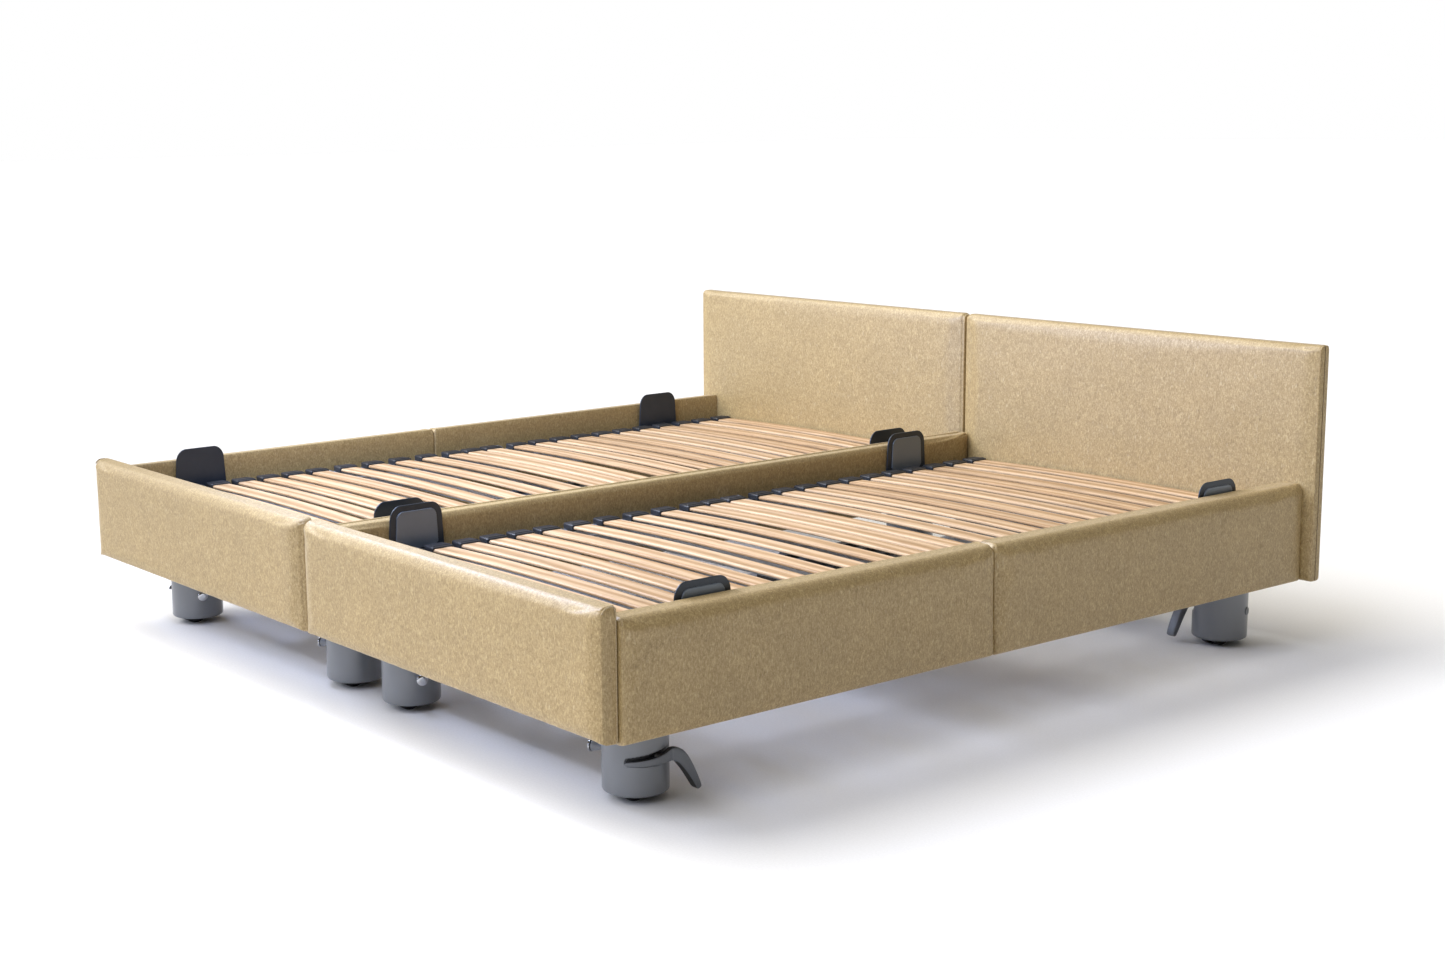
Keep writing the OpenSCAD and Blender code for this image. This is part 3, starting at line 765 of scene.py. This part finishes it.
def make_retainers():
    """Mattress retainers: two plates with a raised pad, painted lighter as a highlight, on arms that
    reach to the section's frame.
    """
    for part, (outer_reach, inner_reach) in RETAINER_REACH.items():
        lo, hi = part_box(f"right_{part}_retainers")
        w = hi.y - lo.y
        h = hi.z - lo.z
        outer, inner = hi.x - 0.006, lo.x
        parts, highlight_pads = [], []
        for x in (outer, inner):
            body = tapered(rounded_outline(w, h, 0.004, 0.03), 0.1)
            parts.append(plate_data(body, x, x + PLATE, lo.y, lo.z))
            raised = tapered(rounded_outline(w - 2 * PAD_MARGIN, h - 2 * PAD_MARGIN, 0.01, 0.018), 0.08)
            parts.append(plate_data(raised, x + 0.003, x + 0.0064, lo.y + PAD_MARGIN, lo.z + 0.022))
            highlight_pads.append(len(parts) - 1)
        arm = [(0.03, 0), (w - 0.03, 0), (w - 0.03, 0.005), (0.03, 0.005)]
        parts.append(plate_data(arm, outer - outer_reach, outer + 0.002, lo.y, lo.z))
        parts.append(plate_data(arm, inner + 0.002, inner + inner_reach, lo.y, lo.z))
        for side, m in SIDES.items():
            v, f = mirrored(*join_parts(parts), m)
            o = mesh_piece(f"{side}_{part}_retainer_plates", v, f, f"{side}_{part}_section",
                           [MAT["retainer"], MAT["pad"]],
                           [f"{side}_{part}_retainers"], smooth=False)
            # The raised pads take the lighter paint, a painted highlight
            start = 0
            for i, (_, part_faces) in enumerate(parts):
                for k in range(start, start + len(part_faces)):
                    o.data.polygons[k].material_index = 1 if i in highlight_pads else 0
                start += len(part_faces)
            bevel = o.modifiers.new("bevel", "BEVEL")
            bevel.width = 0.0016
            bevel.segments = 3
            bevel.limit_method = "ANGLE"
            bevel.angle_limit = math.radians(35)
            bevel.harden_normals = True


# ---------- Leg covers ----------

# Positions of the legs from the middle of the bed, and the covers' radius and stub height
LEG_X = {"inner": 0.122, "outer": 0.930}
LEG_Y = {"foot": 0.200 + FOOT_Y, "head": 2.023 + FOOT_Y}
COVER_R = 0.0655
STUB_Z = 0.086
# Angle between a stub and x, and the depth of the pedals' recess
STUB_LEAN = 18
GROOVE = 0.0045


def turned(profile, segments, height):
    """Turned part that points out of a cover's +x side. profile holds (radius, distance past the
    cover's radius)."""
    verts, faces = [], []
    n = len(profile)
    for s in range(segments):
        a = 2 * math.pi * s / segments
        verts += [(COVER_R + d, r * math.cos(a), r * math.sin(a) + height) for r, d in profile]
    for s in range(segments):
        t = (s + 1) % segments
        for i in range(n - 1):
            faces.append((s * n + i, t * n + i, t * n + i + 1, s * n + i + 1))
    faces.append(tuple(s * n for s in range(segments))[::-1])
    faces.append(tuple(s * n + n - 1 for s in range(segments)))
    return verts, faces


def groove_depth(angle, z):
    """Depth of the pedal's recess in a braked cover, a rounded wedge that rises around its +x side."""
    start, end = math.radians(-57), math.radians(60)
    t = min(max((angle - start) / (end - start), 0), 1)
    half_h = 0.0075 + 0.0125 * t
    cz = 0.0875 + 0.007 * t
    s = angle * COVER_R
    ds = max(start * COVER_R + half_h - s, s - end * COVER_R + half_h, 0)
    d = math.hypot(ds, z - cz) - half_h
    return GROOVE * min(max(-d / 0.0015, 0), 1)


def cover_data(braked):
    """Leg cover, hollow below. A braked one has the pedal's recess, whose deep faces are listed as
    dark: painted shade, set black where the slot lies in shade.
    """
    if braked:
        zs = [0.176, 0.150, 0.130] + [0.118 - 0.0013 * i for i in range(35)] + [0.066, 0.050]
    else:
        zs = [0.176, 0.16, 0.14, 0.13, 0.10, 0.06]
    zs += [0.034, 0.0235]
    lower = [(COVER_R - 0.0045 * (1 - math.cos(a)) - 0.0001, 0.0225 - 0.0055 * math.sin(a)) for a in
             (0.35, 0.7, 1.05, 1.4)]
    inside = [(0.0605, 0.0162), (0.0592, 0.0175), (0.0585, 0.024), (0.058, 0.09), (0.058, 0.165),
              (0.02, 0.166)]
    n_seg = 240 if braked else 96
    profile = [(COVER_R, z) for z in zs] + lower + inside
    n = len(profile)
    verts, faces = [], []
    for s in range(n_seg):
        a = 2 * math.pi * s / n_seg
        signed = a if a <= math.pi else a - 2 * math.pi
        for r, z in profile:
            depth = groove_depth(signed, z) if braked and r == COVER_R else 0
            verts.append(((r - depth) * math.cos(a), (r - depth) * math.sin(a), z))
    dark = []
    for s in range(n_seg):
        t = (s + 1) % n_seg
        for i in range(n - 1):
            quad = (s * n + i, s * n + i + 1, t * n + i + 1, t * n + i)
            # Painted shade: faces deep in the recess are listed to be set black
            deep = all(math.hypot(*verts[k][:2]) < COVER_R - GROOVE * 2 / 3 for k in quad)
            if deep and i < len(zs) - 1:
                dark.append(len(faces))
            faces.append(quad)
    faces.append(tuple(s * n for s in range(n_seg)))
    return verts, faces, dark


def placed(data, angle, x, y):
    """Mesh data turned about z and moved to a leg."""
    c, s = math.cos(angle), math.sin(angle)
    v, f = data
    return [(x + c * a - s * b, y + s * a + c * b, z) for a, b, z in v], f


def make_legs():
    """Covers of all eight legs, with flared stubs at the foot end and buttons at the head end."""
    plain, slotted = cover_data(False), cover_data(True)
    stub = turned([(0.0085, -0.004), (0.0058, 0.003), (0.0058, 0.010), (0.0072, 0.019),
                   (0.0094, 0.028), (0.0110, 0.0325), (0.0108, 0.0335)], 32, STUB_Z)
    # Thin black ring between stub and disc: painted shade of the groove there
    groove_shade_ring = turned([(0.0095, 0.0325), (0.0112, 0.0332), (0.0112, 0.0352), (0.0095, 0.0356)], 32, STUB_Z)
    disc = turned([(0.0110, 0.0350), (0.0124, 0.0354), (0.0129, 0.0362), (0.0129, 0.0382),
                   (0.0124, 0.0392), (0.0108, 0.0400), (0.0070, 0.0407), (0.0030, 0.0409),
                   (0.0004, 0.0409)], 40, STUB_Z)
    button = turned([(0.0105, -0.003), (0.0105, 0.0008), (0.0095, 0.0022), (0.0080, 0.0024),
                     (0.0075, 0.0016), (0.0004, 0.0014)], 32, STUB_Z)
    dark, count = [], 0
    covers, stubs, discs, groove_shade_rings = [], [], [], []
    for m in SIDES.values():
        for col, lx in LEG_X.items():
            for row, ly in LEG_Y.items():
                outer, foot = col == "outer", row == "foot"
                turn = 0 if foot else math.pi
                shell = slotted if outer else plain
                covers.append(mirrored(*placed(shell[:2], turn, lx, ly), m))
                dark += [count + i for i in shell[2]]
                count += len(shell[1])
                lean = math.radians(STUB_LEAN if outer else -STUB_LEAN)
                facing = math.pi if outer else 0
                if foot:
                    for made, data in ((stubs, stub), (groove_shade_rings, groove_shade_ring), (discs, disc)):
                        made.append(mirrored(*placed(data, facing + lean, lx, ly), m))
                else:
                    stubs.append(mirrored(*placed(button, facing + math.pi + lean, lx, ly), m))
    v, f = join_parts(covers)
    o = mesh_piece("leg_cover_shells", v, f, "chassis", [MAT["cover"], MAT["black"]],
                   ["leg_covers"])
    # Painted shade: the recesses' deep faces take the black plastic
    for i in dark:
        o.data.polygons[i].material_index = 1
    v, f = join_parts(stubs)
    mesh_piece("cover_stubs", v, f, "chassis", MAT["cover"])
    # Black rings: painted shade in the grooves between stubs and discs
    v, f = join_parts(groove_shade_rings)
    mesh_piece("cover_stub_rims", v, f, "chassis", MAT["black"])
    v, f = join_parts(discs)
    mesh_piece("cover_stub_discs", v, f, "chassis", MAT["chrome"])


# ---------- Brake pedals ----------

PIN_Z = 0.096


def pedal_data():
    """Curved lever: a band around the cover, then a foot plate that bends down. Each station holds
    its centre, its width across the leg's radius, its height in the plane of motion and its slope."""
    st = []
    for a, r, z, w, h in (
        (-54.5, 0.0050, 0.0855, 0.0035, 0.0035), (-54.0, 0.0053, 0.0855, 0.0040, 0.0060),
        (-50.0, 0.0055, 0.0858, 0.0046, 0.0080), (-40.0, 0.0056, 0.0864, 0.0058, 0.0100),
        (-28.0, 0.0058, 0.0872, 0.0078, 0.0120), (-16.0, 0.0060, 0.0882, 0.0098, 0.0142),
        (-4.0, 0.0065, 0.0895, 0.0114, 0.0168), (8.0, 0.0069, 0.0912, 0.0122, 0.0200),
        (18.0, 0.0073, 0.0930, 0.0124, 0.0232), (25.0, 0.0074, 0.0945, 0.0130, 0.0258),
    ):
        t = math.radians(a)
        st.append(((COVER_R + r) * math.cos(t), (COVER_R + r) * math.sin(t), z, w, h, 0.0))
    band = len(st)
    for x, y, z, w, h, bend in (
        (0.0690, 0.0365, 0.0955, 0.0145, 0.0275, 8),
        (0.0705, 0.0445, 0.0930, 0.0190, 0.0285, 22),
        (0.0710, 0.0525, 0.0865, 0.0225, 0.0270, 38),
        (0.0710, 0.0605, 0.0760, 0.0240, 0.0245, 50),
        (0.0710, 0.0690, 0.0635, 0.0250, 0.0215, 56),
        (0.0710, 0.0775, 0.0495, 0.0255, 0.0185, 59),
        (0.0710, 0.0855, 0.0350, 0.0250, 0.0160, 61),
        (0.0710, 0.0915, 0.0235, 0.0240, 0.0140, 61),
        (0.0710, 0.0938, 0.0190, 0.0225, 0.0115, 61),
        (0.0710, 0.0946, 0.0174, 0.0190, 0.0080, 61),
    ):
        st.append((x, y, z, w, h, math.radians(bend)))
    verts, faces = [], []
    n = 16
    for i, (x, y, z, w, h, bend) in enumerate(st):
        t = math.atan2(y, x)
        flat = Vector((-math.sin(t), math.cos(t), 0)) if i < band else Vector((0, 1, 0))
        out = Vector((flat.y, -flat.x, 0))
        along = flat * math.cos(bend) + Vector((0, 0, -math.sin(bend)))
        up = out.cross(along)
        for k in range(n):
            a = 2 * math.pi * (k + 0.5) / n
            cx = abs(math.cos(a)) ** 0.4 * math.copysign(1, math.cos(a))
            sy = abs(math.sin(a)) ** 0.4 * math.copysign(1, math.sin(a))
            verts.append(tuple(Vector((x, y, z)) + out * (cx * w / 2) + up * (sy * h / 2)))
    for i in range(len(st) - 1):
        for k in range(n):
            a, b = i * n + k, i * n + (k + 1) % n
            faces.append((a, b, b + n, a + n))
    faces.append(tuple(range(n))[::-1])
    e = (len(st) - 1) * n
    faces.append(tuple(e + k for k in range(n)))
    # Painted shade: the foot plate's underside and the band's top lie in shade and are set black
    black = {i for i, f in enumerate(faces[:-2]) if f[0] // n > band and f[0] % n in (10, 11, 12)}
    black |= {i for i, f in enumerate(faces[:-2]) if f[0] // n < band and f[0] % n in (2, 3, 4)}
    return verts, faces, black


def make_pedals():
    """Brake pedals of the four outer castors, each on its pin."""
    verts, faces, black = pedal_data()
    pin = turned([(0.0004, -0.01), (0.007, -0.01), (0.007, 0.010), (0.0004, 0.010)], 24, PIN_Z)
    for side, m in SIDES.items():
        for row in ("foot", "head"):
            turn = 0 if row == "foot" else math.pi
            body = f"{side}_{row}_outer_pedal"
            v, f = mirrored(*placed((verts, faces), turn, LEG_X["outer"], LEG_Y[row]), m)
            o = mesh_piece(body + "_lever", v, f, body, [MAT["pedal"], MAT["black"]],
                           [body])
            # Painted shade on the lever's shaded faces
            for i in black:
                o.data.polygons[i].material_index = 1
            sub = o.modifiers.new("smooth", "SUBSURF")
            sub.levels = sub.render_levels = 2
            v, f = mirrored(*placed(pin, turn, LEG_X["outer"], LEG_Y[row]), m)
            mesh_piece(body + "_pin", v, f, body, MAT["black"])


# ---------- Finishes of the CAD parts that stay ----------

# Where the lying frames' bumpers are: below this height, and this far from the middle of the bed
BUMPER_TOP, BUMPER_X, BUMPER_HALF = 0.1765, 1.015, 0.03


def assign_cad():
    """Finishes of the CAD nodes that stay visible. The bumpers under the lying frames are black."""
    looks = {"chassis": "frame"}
    for side in SIDES:
        for n in ("column_mids", "lying_frame", "back_frame", "thigh_frame", "calf_frame"):
            looks[f"{side}_{n}"] = "frame"
        looks[f"{side}_dual_drive"] = "drive"
        looks[f"{side}_back_pusher"] = looks[f"{side}_thigh_pusher"] = "pusher"
        for leg in ("foot_inner", "foot_outer", "head_inner", "head_outer"):
            looks[f"{side}_{leg}_fork"] = "black"
            looks[f"{side}_{leg}_wheels"] = "rubber"
    for node, look in looks.items():
        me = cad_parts[node].data
        me.materials.clear()
        me.materials.append(MAT[look])
        if node.endswith("lying_frame"):
            me.materials.append(MAT["black"])
            for p in me.polygons:
                c = p.center
                low = c.z < BUMPER_TOP and abs(abs(c.x) - BUMPER_X) < BUMPER_HALF
                p.material_index = 1 if low else 0


make_camera()
make_studio()
make_panels()
make_hems()
make_slats()
make_retainers()
make_legs()
make_pedals()
assign_cad()
